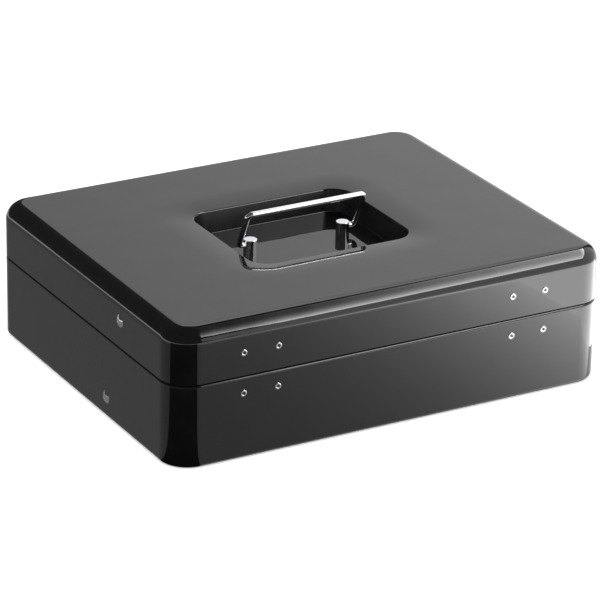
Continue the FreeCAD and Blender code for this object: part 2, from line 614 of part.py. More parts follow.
def flat_bar(side, a, b, half, slot=(0.0, 0.0)):
    """Flat bar between pivots a and b; its hole at b may be a slot along the bar."""
    x0 = side * ARM_OUT_X
    x1 = side * (ARM_OUT_X - ARM_THICK)
    dy = b[0] - a[0]
    dz = b[1] - a[1]
    length = math.hypot(dy, dz)
    uy = dy / length
    uz = dz / length
    tip = (b[0] + uy * slot[1], b[1] + uz * slot[1])
    bar = hull_of_discs(a, tip, half, x0, x1)
    bar = bar.cut(disc(STUD_R + STUD_CLEARANCE, a[0], a[1], x0 + side, x1 - side))
    hole_r = STUD_R + STUD_CLEARANCE
    if slot[1]:
        start = (b[0] - uy * slot[0], b[1] - uz * slot[0])
        return bar.cut(hull_of_discs(start, tip, hole_r, x0 + side, x1 - side))
    return bar.cut(disc(hole_r, b[0], b[1], x0 + side, x1 - side))


def hull_of_discs(a, b, r, x0, x1):
    """A stadium outline round points a and b (Y, Z), as a plate from x0 to x1."""
    dy = b[0] - a[0]
    dz = b[1] - a[1]
    length = math.hypot(dy, dz)
    ny = -dz / length * r
    nz = dy / length * r
    ey = dy / length * r
    ez = dz / length * r
    x = min(x0, x1)
    p = [V(x, y + s * ny, z + s * nz) for (y, z), s in ((a, 1), (b, 1), (b, -1), (a, -1))]
    edges = [
        Part.makeLine(p[0], p[1]),
        Part.Arc(p[1], V(x, b[0] + ey, b[1] + ez), p[2]).toShape(),
        Part.makeLine(p[2], p[3]),
        Part.Arc(p[3], V(x, a[0] - ey, a[1] - ez), p[0]).toShape(),
    ]
    return Part.Face(Part.Wire(edges)).extrude(V(abs(x1 - x0), 0, 0))


def case_studs(pivot):
    """Rivets through the case's side walls: domed head outside, shank, clinched head inside."""
    shapes = []
    y, z = pivot
    inner_x = ARM_OUT_X - ARM_THICK - BAR_PLAY
    for side in (-1, 1):
        shank = disc(STUD_R, y, z, side * inner_x, side * WIDTH / 2)
        head = dome(CASE_HEAD[0], CASE_HEAD[1], V(side * WIDTH / 2, y, z), V(side, 0, 0))
        clinch = dome(STUD_HEAD[0], STUD_HEAD[1], V(side * inner_x, y, z), V(-side, 0, 0))
        shapes.append(shank.fuse([head, clinch]))
    return together(shapes)


def case_spacers(pivot):
    """Washers that hold the bars off the case's side walls."""
    shapes = []
    y, z = pivot
    for side in (-1, 1):
        ring = disc(SPACER_R, y, z, side * (ARM_OUT_X + BAR_PLAY), side * SIDE_IN)
        shapes.append(ring.cut(disc(STUD_R, y, z, side * ARM_OUT_X, side * (SIDE_IN + EXTRA))))
    return together(shapes)


def tray_studs(pivot):
    """Rivets through the tray's side walls: clinched inside, shoulder, bar, flat head outside."""
    shapes = []
    y, z = pivot
    wall_x = TRAY_X - TRAY_SHEET
    outer_x = ARM_OUT_X + BAR_PLAY
    for side in (-1, 1):
        shank = disc(STUD_R, y, z, side * wall_x, side * outer_x)
        inside = dome(STUD_HEAD_IN_TRAY[0], STUD_HEAD_IN_TRAY[1], V(side * wall_x, y, z), V(-side, 0, 0))
        collar = disc(STUD_HEAD[0], y, z, side * TRAY_X, side * (ARM_OUT_X - ARM_THICK - BAR_PLAY))
        head = dome(STUD_HEAD[0], STUD_HEAD[1], V(side * outer_x, y, z), V(side, 0, 0))
        shapes.append(shank.fuse([inside, collar, head]))
    return together(shapes)


def main():
    os.makedirs("parts", exist_ok=True)
    save("base_pan", base_pan())
    save("lock_keeper", lock_keeper())
    save("hinge_base_rivets", hinge_rivets(BASE_RIVET_Z))
    save("hinge_lid_rivets", hinge_rivets(LID_RIVET_Z))
    for x, hand in zip(HINGE_XS, ("left", "right")):
        save("hinge_base_leaf_" + hand, hinge_base_leaf(x))
        save("hinge_lid_leaf_" + hand, hinge_lid_leaf(x))
        save("hinge_pin_" + hand, hinge_pin(x))
    save("arm_base_rivets", case_studs(ARM_FOOT))
    save("arm_base_spacers", case_spacers(ARM_FOOT))
    save("link_lid_rivets", case_studs(LINK_LID))
    save("link_lid_spacers", case_spacers(LINK_LID))
    save("lid_shell", lid_shell())
    save("handle_post_washers", post_washers())
    save("handle_post_screws", post_screws())
    save("handle_bail", handle_bail())
    save("lock_housing", lock_housing())
    save("lock_clip", lock_clip())
    save("lock_plug", lock_plug())
    save("lock_cam", lock_cam())
    save("lock_cam_screw", lock_cam_screw())
    save("tray_pan", tray_pan())
    save("tray_long_divider", tray_long_divider())
    save("tray_cross_dividers", tray_cross_dividers())
    save("arm_tray_rivets", tray_studs(ARM_HEAD))
    save("link_tray_rivets", tray_studs(LINK_TRAY))
    for side, hand in ((-1, "left"), (1, "right")):
        save("handle_post_" + hand, handle_post(side))
        save("tray_arm_" + hand, flat_bar(side, ARM_FOOT, ARM_HEAD, ARM_HALF))
        save("lid_link_" + hand, flat_bar(side, LINK_LID, LINK_TRAY, LINK_HALF, LINK_SLOT))


main()
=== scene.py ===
import math

import bmesh
import bpy
from mathutils import Matrix, Vector

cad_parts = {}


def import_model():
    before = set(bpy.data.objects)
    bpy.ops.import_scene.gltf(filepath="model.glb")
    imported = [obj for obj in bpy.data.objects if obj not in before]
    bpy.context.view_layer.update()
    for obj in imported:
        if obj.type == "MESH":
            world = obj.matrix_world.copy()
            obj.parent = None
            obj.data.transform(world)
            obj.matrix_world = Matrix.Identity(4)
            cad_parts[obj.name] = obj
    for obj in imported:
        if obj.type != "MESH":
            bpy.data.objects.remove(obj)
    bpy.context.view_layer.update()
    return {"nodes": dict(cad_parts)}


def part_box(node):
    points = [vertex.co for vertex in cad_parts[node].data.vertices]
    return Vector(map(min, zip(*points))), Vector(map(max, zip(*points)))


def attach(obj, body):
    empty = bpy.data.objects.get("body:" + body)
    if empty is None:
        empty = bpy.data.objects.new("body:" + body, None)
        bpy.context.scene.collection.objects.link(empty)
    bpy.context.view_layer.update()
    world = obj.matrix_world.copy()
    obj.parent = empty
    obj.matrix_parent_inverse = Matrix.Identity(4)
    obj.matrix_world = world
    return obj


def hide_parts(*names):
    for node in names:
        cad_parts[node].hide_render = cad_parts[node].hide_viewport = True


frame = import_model()

MM = 0.001                      # the object's lengths below are in millimetres
HANDS = ("left", "right")

# ---------------------------------------------------------------- sizes of the case
SHEET = 0.8
CORNER_R = 18.5                 # corners of the case, seen from above
LID_TOP_R = 10.4
BASE_FOOT_R = 3.0
SHOULDER_Z = 52.9               # top of the base's wall, where the rim steps in
SHOULDER_R = 1.8
JOGGLE = 1.8                    # how far the rim steps in
NOTCH_PLAY = 1.0                # rim notch past each end of a hinge leaf
LOCK_NOTCH_HALF = 12.0

# ---------------------------------------------------------------- sizes of the handle pocket
POCKET_Y = 2.6
POCKET_FLOOR_Z = 72.6
POCKET_TOP = (111.6, 93.9)      # size along X and Y where the wall would meet the top
POCKET_BOTTOM = (104.6, 86.9)
POCKET_TOP_R = 14.0
POCKET_BOTTOM_R = 11.0
POCKET_FLOOR_FILLET = 0.6
POCKET_LIP_R = 1.2
DISH = (22.0, 1.2)              # how far and how deep the top dips towards the pocket

# ---------------------------------------------------------------- sizes of the handle
POST_CHAMFER = 0.4
PIVOT_Z = 78.6
BAIL_R = 1.8
BAIL_X = 41.0                   # middle of the wire's side legs
BAIL_END_X = 30.2
BAIL_REACH = 27.2               # from the pivot to the middle of the grip
BAIL_LEAN = 26.0                # degrees from upright, towards the hinges
BAIL_FOOT_BEND = 2.6
BAIL_GRIP_BEND = 3.0

# ---------------------------------------------------------------- sizes of the hinge rivets
RIVET_PITCH = 23.0
RIVET_BORE_R = 0.9
RIVET_HEAD = (2.1, 0.4)         # radius, height
RIVET_TAIL = (2.7, 0.9)
LEAF = 1.0                      # thickness of a hinge leaf

# ---------------------------------------------------------------- mesh steps
CORNER_STEPS = 20
FILLET_STEPS = 14
SHOULDER_STEPS = 8
DISH_STEPS = 20
CHAMFER_STEPS = 6
FOOT_BEND_STEPS = 12
GRIP_BEND_STEPS = 14
ROLL_STEPS = 10
POST_ROUND = 64
RIVET_ROUND = 40
WIRE_ROUND = 40
CASE_CREASE = 35.0              # degrees; sharper edges stay crisp
NODE_CREASE = 30.0
TOUCH = 0.01                    # slack when two heights are compared

# ---------------------------------------------------------------- texture of the finishes
NOISE_BAND = (0.3, 0.7)         # the part of the noise's range that is stretched out
MOTTLE = 60                     # noise scales, per metre
HAZE = 900
WAVE = 38
PEEL = 420
PEEL_SHARE = 0.035              # depth of the orange peel against that of the slow wave
BODY_ROUGHNESS = (0.42, 0.55)   # of the enamel's body, under its clear skin
BODY_SPECULAR = 0.015
SKIN_IOR = 1.5

# ---------------------------------------------------------------- studio and camera, in metres
WORLD_WHITE = 1.6               # strength of the world to the camera and the floor
WORLD_ROOM = 0.08               # strength of the world in reflections
FLOOR_HALF = 12.0
FLOOR_WHITE = 0.9
FLOOR_GLOW = 0.3
FLOOR_CARD_Z = 0.0006           # height of the cards that lie on the floor

TARGET_MM = (0.3, 4.1, 37.0)
DISTANCE = 2.2361
AZIMUTH = 150.288               # degrees; 0 looks along +Y
ELEVATION = 23.03
ROLL = 1.119
SENSOR_MM = 36.0
LENS_MM = 214.96
CLIP_END = 50.0


def span(node, axis):
    """Lowest and highest coordinate of a CAD node along an axis, in millimetres."""
    low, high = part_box(node)
    return low[axis] / MM, high[axis] / MM


# ---------------------------------------------------------------- mesh helpers
def piece(name, verts, faces, body, material, replaced):
    """A smooth-shaded mesh from millimetre points, riding on a CAD body in place of CAD nodes."""
    mesh = bpy.data.meshes.new(name)
    mesh.from_pydata([Vector(v) * MM for v in verts], [], faces)
    mesh.validate()
    obj = bpy.data.objects.new(name, mesh)
    bpy.context.scene.collection.objects.link(obj)
    weighted = smooth(obj, material, CASE_CREASE)
    weighted.weight = 100
    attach(obj, body)
    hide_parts(*replaced)
    return obj


def smooth(obj, material, crease):
    """One material and smooth shading that keeps flats flat and edges crisp; returns the modifier."""
    mesh = obj.data
    mesh.materials.clear()
    mesh.materials.append(material)
    mesh.polygons.foreach_set("use_smooth", [True] * len(mesh.polygons))
    mesh.set_sharp_from_angle(angle=math.radians(crease))
    weighted = obj.modifiers.new("weighted", "WEIGHTED_NORMAL")
    weighted.keep_sharp = True
    return weighted


def arc(steps, start, end):
    """Angles from start to end in degrees, as radians, both ends included."""
    return [math.radians(start + (end - start) * i / steps) for i in range(steps + 1)]


def rounded(half_x, half_y, radius, z, y_mid=0.0):
    """Points of a rounded rectangle, anticlockwise from above."""
    points = []
    for quarter, (sx, sy) in enumerate(((1, 1), (-1, 1), (-1, -1), (1, -1))):
        for i in range(CORNER_STEPS + 1):
            a = math.radians(90 * (quarter + i / CORNER_STEPS))
            x = sx * (half_x - radius) + radius * math.cos(a)
            y = y_mid + sy * (half_y - radius) + radius * math.sin(a)
            points.append((x, y, z))
    return points


def inset_ring(half_x, half_y, corner, inset, z):
    """Points of the case's outline, moved in by inset all round."""
    return rounded(half_x - inset, half_y - inset, corner - inset, z)


def skin(rings, cap_first=False, cap_last=False, closed=False):
    """Quads between rings of equal count; the side that faces out is on the right of the walk."""
    verts = [p for ring in rings for p in ring]
    n = len(rings[0])
    faces = []
    pairs = [(k, k + 1) for k in range(len(rings) - 1)]
    if closed:
        pairs.append((len(rings) - 1, 0))
    for a, b in pairs:
        for i in range(n):
            j = (i + 1) % n
            faces.append((a * n + i, a * n + j, b * n + j, b * n + i))
    if cap_first:
        faces.append(tuple(reversed(range(n))))
    if cap_last:
        faces.append(tuple((len(rings) - 1) * n + i for i in range(n)))
    return verts, faces


def lathe(profile, origin, axis, steps):
    """Turn (radius, height) points about an axis; radius 0 closes an end."""
    axis = Vector(axis).normalized()
    side = axis.orthogonal().normalized()
    other = axis.cross(side)
    verts = []
    faces = []
    rows = []
    for r, h in profile:
        centre = Vector(origin) + axis * h
        if r == 0:
            rows.append([len(verts)])
            verts.append(centre)
            continue
        rows.append(list(range(len(verts), len(verts) + steps)))
        for i in range(steps):
            a = math.tau * i / steps
            verts.append(centre + side * (r * math.cos(a)) + other * (r * math.sin(a)))
    for low, high in zip(rows, rows[1:]):
        for i in range(steps):
            j = (i + 1) % steps
            if len(low) == 1:
                faces.append((low[0], high[j], high[i]))
            elif len(high) == 1:
                faces.append((low[i], low[j], high[0]))
            else:
                faces.append((low[i], low[j], high[j], high[i]))
    return verts, faces


def tube(path, radius, plane):
    """A round wire along points that lie in one plane, both ends closed."""
    rings = []
    plane = Vector(plane).normalized()
    for i, p in enumerate(path):
        before = path[max(i - 1, 0)]
        after = path[min(i + 1, len(path) - 1)]
        along = (after - before).normalized()
        out = along.cross(plane)
        rings.append([p + out * (radius * math.cos(a)) + plane * (radius * math.sin(a))
                      for a in (math.tau * k / WIRE_ROUND for k in range(WIRE_ROUND))])
    return skin(rings, True, True)


def several(parts):
    """Join (verts, faces) pairs into one."""
    verts = []
    faces = []
    for v, f in parts:
        base = len(verts)
        verts += [Vector(p) for p in v]
        faces += [tuple(base + i for i in face) for face in f]
    return verts, faces


# ---------------------------------------------------------------- materials
class Nodes:
    """Short-hand for building a node material."""

    def __init__(self, name):
        self.material = bpy.data.materials.new(name)
        self.material.use_nodes = True
        self.tree = self.material.node_tree
        self.shader = self.tree.nodes["Principled BSDF"]
        self.where = self.add("ShaderNodeTexCoord").outputs["Object"]

    def add(self, kind, **values):
        node = self.tree.nodes.new(kind)
        for key, value in values.items():
            setattr(node, key, value)
        return node

    def link(self, a, b):
        self.tree.links.new(a, b)

    def noise(self, per_metre, detail, roughness=0.5):
        node = self.add("ShaderNodeTexNoise")
        node.inputs["Scale"].default_value = per_metre
        node.inputs["Detail"].default_value = detail
        node.inputs["Roughness"].default_value = roughness
        self.link(self.where, node.inputs["Vector"])
        return node.outputs["Fac"]

    def spread(self, source, low, high):
        """Stretch the middle of a noise over low to high."""
        node = self.add("ShaderNodeMapRange")
        node.inputs["From Min"].default_value, node.inputs["From Max"].default_value = NOISE_BAND
        node.inputs["To Min"].default_value = low
        node.inputs["To Max"].default_value = high
        self.link(source, node.inputs["Value"])
        return node.outputs["Result"]

    def bump(self, height, distance, under=None):
        node = self.add("ShaderNodeBump")
        node.inputs["Strength"].default_value = 1.0
        node.inputs["Distance"].default_value = distance
        self.link(height, node.inputs["Height"])
        if under is not None:
            self.link(under, node.inputs["Normal"])
        return node.outputs["Normal"]

    def colour(self, factor, first, second):
        node = self.add("ShaderNodeMix", data_type="RGBA")
        node.inputs["A"].default_value = (*first, 1)
        node.inputs["B"].default_value = (*second, 1)
        self.link(factor, node.inputs["Factor"])
        return node.outputs["Result"]

    def feed(self, source, socket):
        self.link(source, self.shader.inputs[socket])

    def set(self, **values):
        for key, value in values.items():
            self.shader.inputs[key.replace("_", " ")].default_value = value


def enamel(name, first, second, coat_roughness, ripple):
    """Stoved enamel: a dark body under a clear glossy skin with a faint orange peel."""
    m = Nodes(name)
    m.feed(m.colour(m.spread(m.noise(MOTTLE, 4), 0, 1), first, second), "Base Color")
    m.feed(m.spread(m.noise(HAZE, 2), *BODY_ROUGHNESS), "Roughness")
    m.set(Coat_Weight=1.0, Coat_Roughness=coat_roughness, Coat_IOR=SKIN_IOR, Specular_IOR_Level=BODY_SPECULAR)
    slow = m.bump(m.noise(WAVE, 1.0, 0.3), ripple)
    peel = m.bump(m.noise(PEEL, 1.5, 0.4), ripple * PEEL_SHARE, under=slow)
    m.feed(peel, "Coat Normal")
    m.feed(peel, "Normal")
    return m.material


def plated(name, first, second, rough_low, rough_high, grain=0.0, per_metre=300):
    """Plated or bare metal with a slight unevenness; grain is the depth of its texture."""
    m = Nodes(name)
    m.feed(m.colour(m.spread(m.noise(per_metre, 4), 0, 1), first, second), "Base Color")
    m.feed(m.spread(m.noise(per_metre * 2.3, 5, 0.6), rough_low, rough_high), "Roughness")
    m.set(Metallic=1.0)
    if grain:
        m.feed(m.bump(m.noise(per_metre * 3, 3), grain), "Normal")
    return m.material


CASE = enamel("case_enamel", (0.0018, 0.0018, 0.0019), (0.0028, 0.0028, 0.0030), 0.03, 0.00016)
# the pocket wall's enamel: the case enamel with a hazier skin and a lighter body colour; the lighter colour is
# painted light on the same enamel
POCKET_WALL_PAINTED_LIGHT = enamel("case_enamel_wall_painted_light", (0.005, 0.005, 0.0055), (0.008, 0.008, 0.0085), 0.22, 0.00016)
TRAY = enamel("tray_enamel", (0.010, 0.010, 0.0105), (0.014, 0.014, 0.0145), 0.12, 0.00008)
CHROME = plated("bright_chrome", (0.86, 0.87, 0.89), (0.90, 0.91, 0.92), 0.03, 0.07)
RIVET = plated("rivet_steel", (0.44, 0.44, 0.44), (0.56, 0.56, 0.56), 0.10, 0.20, 0.00002, 700)
ZINC = plated("zinc_plate", (0.48, 0.49, 0.50), (0.60, 0.61, 0.60), 0.28, 0.45, 0.00002, 260)
BRASS = plated("plug_brass", (0.76, 0.58, 0.30), (0.83, 0.66, 0.38), 0.18, 0.30, 0.00001, 500)


# ---------------------------------------------------------------- lid
def lid_rings(grow):
    """Rings of the lid's skin from the lower edge over the top and down to the pocket floor.

    grow is 0 for the outside and SHEET for the inside."""
    low_z, top = span("lid_shell", 2)
    half_x = span("lid_shell", 0)[1] - grow
    half_y = span("lid_shell", 1)[1] - grow
    top -= grow
    corner = CORNER_R - grow
    edge = LID_TOP_R - grow
    rings = [rounded(half_x, half_y, corner, low_z)]
    for a in arc(FILLET_STEPS, 0, 90):
        inset = edge * (1 - math.cos(a))
        rings.append(inset_ring(half_x, half_y, corner, inset, top - edge + edge * math.sin(a)))
    return rings + pocket_rings(grow, top)


def pocket_rings(grow, top):
    """Rings of the dip, the rounded lip, the sloping wall and the fillet round the pocket floor.

    A spread is how far a ring stands outside the corner between the wall and the floor."""
    run = (POCKET_TOP[0] - POCKET_BOTTOM[0]) / 2
    drop = span("lid_shell", 2)[1] - POCKET_FLOOR_Z
    slope = run / drop
    aside = grow * math.sqrt(1 + slope * slope)
    floor = POCKET_FLOOR_Z - grow

    def ring(spread, z):
        radius = POCKET_BOTTOM_R + grow + (spread - aside) * (POCKET_TOP_R - POCKET_BOTTOM_R) / run
        return rounded(POCKET_BOTTOM[0] / 2 + spread, POCKET_BOTTOM[1] / 2 + spread, radius, z, POCKET_Y)

    def wall(z):
        """Spread of the sloping wall at a height."""
        return aside + slope * (z - POCKET_FLOOR_Z)

    turn = 90 - math.degrees(math.atan(slope))
    steep = math.radians(turn)
    lip = POCKET_LIP_R - grow
    fillet = POCKET_FLOOR_FILLET + grow
    toe = fillet * math.tan(math.radians(turn / 2))
    dish_run, dish_drop = DISH
    start = math.atan(2 * dish_drop / dish_run)
    lip_z = top - dish_drop
    lip_run = lip * (math.sin(steep) - math.sin(start))
    lip_drop = lip * (math.cos(start) - math.cos(steep))
    lip_spread = wall(lip_z - lip_drop) + lip_run
    rings = []
    for k in range(DISH_STEPS):
        t = k / DISH_STEPS
        rings.append(ring(lip_spread + dish_run * (1 - t), top - dish_drop * t * t))
    for a in arc(FILLET_STEPS, math.degrees(start), turn):
        spread = lip_spread - lip * (math.sin(a) - math.sin(start))
        rings.append(ring(spread, lip_z - lip * (math.cos(start) - math.cos(a))))
    for a in arc(FILLET_STEPS, turn, 0):
        rings.append(ring(wall(floor) - toe + fillet * math.sin(a), floor + fillet * (1 - math.cos(a))))
    return rings


def build_lid():
    outside = lid_rings(0.0)
    inside = lid_rings(SHEET)
    n = len(outside[0])
    verts, faces = skin(outside + inside[::-1], closed=True)
    # the pocket floor is closed by a face on each side, not by quads between its two outlines
    seam = len(outside) - 1
    faces = [f for f in faces if not (f[0] // n == seam and f[2] // n == seam + 1)]
    faces.append(tuple(seam * n + i for i in range(n)))
    faces.append(tuple(reversed([(seam + 1) * n + i for i in range(n)])))
    lid = piece("lid_case", verts, faces, "lid", CASE, ["lid_shell"])
    # the pocket's sloping wall gets the lighter copy of the enamel: painted light
    lid.data.materials.append(POCKET_WALL_PAINTED_LIGHT)
    paint_light_on_pocket_wall(lid.data)


def paint_light_on_pocket_wall(mesh):
    """Give the second material to the pocket's wall: the outer faces between floor and lip that lean. It is a
    lighter copy of the case enamel, so the wall carries painted light.
    """
    flattest = 0.9              # faces that point up more than this belong to the floor
    lip_z = span("lid_shell", 2)[1] - DISH[1] - POCKET_LIP_R
    for face in mesh.polygons:
        x, y, z = face.center / MM
        in_plan = abs(x) < POCKET_TOP[0] / 2 and abs(y) < POCKET_TOP[1] / 2 + POCKET_Y
        if in_plan and POCKET_FLOOR_Z < z < lip_z and 0 < face.normal.z < flattest:
            face.material_index = 1


# ---------------------------------------------------------------- base
def base_rings(half_x, half_y, rim_z):
    """Rings of the base from the foot up the outside, over the rim and down the inside."""
    def ring(inset, z):
        return inset_ring(half_x, half_y, CORNER_R, inset, z)

    rings = []
    for a in arc(FILLET_STEPS, -90, 0):
        rings.append(ring(BASE_FOOT_R * (1 - math.cos(a)), BASE_FOOT_R + BASE_FOOT_R * math.sin(a)))
    for a in arc(SHOULDER_STEPS, 0, 90):
        rings.append(ring(SHOULDER_R * (1 - math.cos(a)), SHOULDER_Z - SHOULDER_R + SHOULDER_R * math.sin(a)))
    inner = JOGGLE + SHEET
    rings.append(ring(JOGGLE, rim_z))
    rings.append(ring(inner, rim_z))
    rings.append(ring(inner, SHOULDER_Z - SHEET))
    rings.append(ring(SHEET, SHOULDER_Z - SHEET))
    foot = BASE_FOOT_R - SHEET
    for a in arc(FILLET_STEPS, 0, -90):
        rings.append(ring(SHEET + foot * (1 - math.cos(a)), BASE_FOOT_R + foot * math.sin(a)))
    return rings


def build_base():
    half_x = span("base_pan", 0)[1]
    half_y = span("base_pan", 1)[1]
    rim_z = span("base_pan", 2)[1]
    verts, faces = skin(base_rings(half_x, half_y, rim_z), True, True)
    base = piece("base_case", verts, faces, "base", CASE, ["base_pan"])
    for hand in HANDS:
        x0, x1 = span("hinge_base_leaf_" + hand, 0)
        notch(base.data, x0 - NOTCH_PLAY, x1 + NOTCH_PLAY, 1, half_y - JOGGLE, rim_z)
    notch(base.data, -LOCK_NOTCH_HALF, LOCK_NOTCH_HALF, -1, half_y - JOGGLE, rim_z)


def notch(mesh, x0, x1, side, wall_y, rim_z):
    """Cut a gap in the rim from x0 to x1 and close the cut sheet edges.

    side is 1 for the rear rim and -1 for the front."""
    one_side = 0.1 * wall_y     # faces with their middle past this belong to the wall that is cut
    bm = bmesh.new()
    bm.from_mesh(mesh)
    for at, normal in (((x0, 0, 0), (1, 0, 0)), ((x1, 0, 0), (1, 0, 0)), ((0, 0, SHOULDER_Z), (0, 0, 1))):
        near = [f for f in bm.faces if side * f.calc_center_median().y > one_side * MM]
        geom = near + [e for f in near for e in f.edges] + [v for f in near for v in f.verts]
        bmesh.ops.bisect_plane(bm, geom=list(dict.fromkeys(geom)), plane_co=Vector(at) * MM, plane_no=normal)
    gone = []
    for face in bm.faces:
        x, y, z = face.calc_center_median() / MM
        if x0 < x < x1 and side * y > wall_y - 2 * SHEET and z > SHOULDER_Z + TOUCH:
            gone.append(face)
    bmesh.ops.delete(bm, geom=gone, context="FACES")

    def nearest(x, y, z):
        return min(bm.verts, key=lambda v: (v.co - Vector((x, side * y, z)) * MM).length)

    inner_y = wall_y - SHEET
    section = ((wall_y, SHOULDER_Z), (wall_y, rim_z), (inner_y, rim_z), (inner_y, SHOULDER_Z))
    a, b = [[nearest(x, y, z) for y, z in section] for x in (x0, x1)]
    for loop in (a, b[::-1], [a[0], a[3], b[3], b[0]]):
        bm.faces.new(loop)
    bmesh.ops.recalc_face_normals(bm, faces=bm.faces)
    bm.to_mesh(mesh)
    bm.free()


# ---------------------------------------------------------------- handle
def build_bail():
    lean = math.radians(BAIL_LEAN)
    up = Vector((0, math.sin(lean), math.cos(lean)))
    low, high = span("handle_post_right", 1)
    pivot = Vector((0, (low + high) / 2, PIVOT_Z))

    def at(x, s):
        return pivot + Vector((x, 0, 0)) + up * s

    def bend(steps, start, end, radius, middle):
        """A bend of the wire that touches its side leg."""
        return [at(BAIL_X - radius + radius * math.cos(a), middle + radius * math.sin(a))
                for a in arc(steps, start, end)]

    path = [at(BAIL_END_X, 0)]
    path += bend(FOOT_BEND_STEPS, -90, 0, BAIL_FOOT_BEND, BAIL_FOOT_BEND)
    path += bend(GRIP_BEND_STEPS, 0, 90, BAIL_GRIP_BEND, BAIL_REACH - BAIL_GRIP_BEND)
    mirror = [Vector((-p.x, p.y, p.z)) for p in reversed(path)]
    verts, faces = tube(path + mirror, BAIL_R, Vector((1, 0, 0)).cross(up))
    piece("bail_wire", verts, faces, "bail", CHROME, ["handle_bail"])


def build_posts():
    for hand in HANDS:
        node = "handle_post_" + hand
        x0, x1 = span(node, 0)
        y0, y1 = span(node, 1)
        z0, z1 = span(node, 2)
        r = (x1 - x0) / 2
        c = POST_CHAMFER
        profile = [(0, 0), (r, 0)]
        height = z1 - z0
        profile += [(r - c + c * math.cos(a), height - c + c * math.sin(a)) for a in arc(CHAMFER_STEPS, 0, 90)]
        profile += [(0, height)]
        verts, faces = lathe(profile, ((x0 + x1) / 2, (y0 + y1) / 2, z0), (0, 0, 1), POST_ROUND)
        piece("post_" + hand, verts, faces, "lid", CHROME, [node])


# ---------------------------------------------------------------- rivets
def rolled(radius, height, start, end):
    """Profile of a rolled ring between the rivet's bore and radius."""
    mid = (radius + RIVET_BORE_R) / 2
    half = (radius - RIVET_BORE_R) / 2
    return [(mid + half * math.cos(a), height * math.sin(a)) for a in arc(ROLL_STEPS, start, end)]


def hinge_rivet(x, z, wall_y):
    """Tubular rivet: rolled ring outside, spun tail inside, open bore."""
    depth = SHEET + LEAF
    outer = rolled(*RIVET_HEAD, 0, 180)
    inner = [(r, -depth - h) for r, h in rolled(*RIVET_TAIL, 180, 0)]
    return lathe(outer + inner + [outer[0]], (x, wall_y, z), (0, 1, 0), RIVET_ROUND)


def build_hinge_rivets():
    wall_y = span("base_pan", 1)[1]
    for node, body in (("hinge_base_rivets", "base"), ("hinge_lid_rivets", "lid")):
        z0, z1 = span(node, 2)
        parts = []
        for hand in HANDS:
            x0, x1 = span("hinge_base_leaf_" + hand, 0)
            for side in (-1, 1):
                parts.append(hinge_rivet((x0 + x1) / 2 + side * RIVET_PITCH / 2, (z0 + z1) / 2, wall_y))
        verts, faces = several(parts)
        piece(node + "_turned", verts, faces, body, RIVET, [node])


# ---------------------------------------------------------------- CAD nodes kept as they are
def dress(names, material):
    for name in names:
        obj = frame["nodes"][name]
        smooth(obj, material, NODE_CREASE)


def both(*stems):
    """Names of the left and right node of each stem."""
    return [stem + hand for stem in stems for hand in HANDS]


def dress_nodes():
    dress(["tray_pan", "tray_long_divider", "tray_cross_dividers"], TRAY)
    plated_pairs = both("hinge_base_leaf_", "hinge_lid_leaf_", "hinge_pin_", "tray_arm_", "lid_link_")
    dress(plated_pairs, ZINC)
    dress(["arm_base_rivets", "link_lid_rivets", "arm_tray_rivets", "link_tray_rivets"], RIVET)
    dress(["arm_base_spacers", "link_lid_spacers", "handle_post_washers"], ZINC)
    dress(["handle_post_screws", "lock_cam_screw", "lock_keeper", "lock_clip", "lock_cam"], ZINC)
    dress(["lock_housing"], CHROME)
    dress(["lock_plug"], BRASS)


# ---------------------------------------------------------------- studio
def emitter(name, low, high, along, power):
    """Emission that runs from low to high along one axis of the card, on a curve.

    A negative power bends the curve from the far end."""
    material = bpy.data.materials.new(name)
    material.use_nodes = True
    tree = material.node_tree
    tree.nodes.remove(tree.nodes["Principled BSDF"])
    light = tree.nodes.new("ShaderNodeEmission")
    where = tree.nodes.new("ShaderNodeTexCoord")
    split = tree.nodes.new("ShaderNodeSeparateXYZ")
    ramp = tree.nodes.new("ShaderNodeMapRange")
    curve = tree.nodes.new("ShaderNodeMath")
    curve.operation = "POWER"
    curve.inputs[1].default_value = abs(power)
    ramp.inputs["To Min"].default_value = low
    ramp.inputs["To Max"].default_value = high
    tree.links.new(where.outputs["Generated"], split.inputs[0])
    place = split.outputs[along]
    if power < 0:
        flip = tree.nodes.new("ShaderNodeMath")
        flip.operation = "SUBTRACT"
        flip.inputs[0].default_value = 1.0
        tree.links.new(place, flip.inputs[1])
        place = flip.outputs[0]
    tree.links.new(place, curve.inputs[0])
    tree.links.new(curve.outputs[0], ramp.inputs["Value"])
    tree.links.new(ramp.outputs["Result"], light.inputs["Strength"])
    tree.links.new(light.outputs[0], tree.nodes["Material Output"].inputs["Surface"])
    return material


def stage_mesh(name, corners, material):
    """One flat face of the studio, from points in metres."""
    mesh = bpy.data.meshes.new(name)
    mesh.from_pydata([Vector(c) for c in corners], [], [tuple(range(len(corners)))])
    mesh.materials.append(material)
    obj = bpy.data.objects.new(name, mesh)
    bpy.context.scene.collection.objects.link(obj)
    return obj


def card(name, corners, low, high, along=0, power=1.0):
    """A flat studio card that only reflections see."""
    obj = stage_mesh(name, corners, emitter(name, low, high, along, power))
    obj.visible_camera = False
    obj.visible_diffuse = False
    obj.visible_shadow = False
    obj.visible_transmission = False


def leaning(low_x, high_x, far_y, near_y, low_z, high_z):
    """Corners of a card along Y that leans from low_x at its foot to high_x at its head."""
    return [(low_x, far_y, low_z), (low_x, near_y, low_z), (high_x, near_y, high_z), (high_x, far_y, high_z)]


def upright(a, b, low_z, high_z):
    """Corners of an upright card over the line from a to b."""
    return [(*a, low_z), (*b, low_z), (*b, high_z), (*a, high_z)]


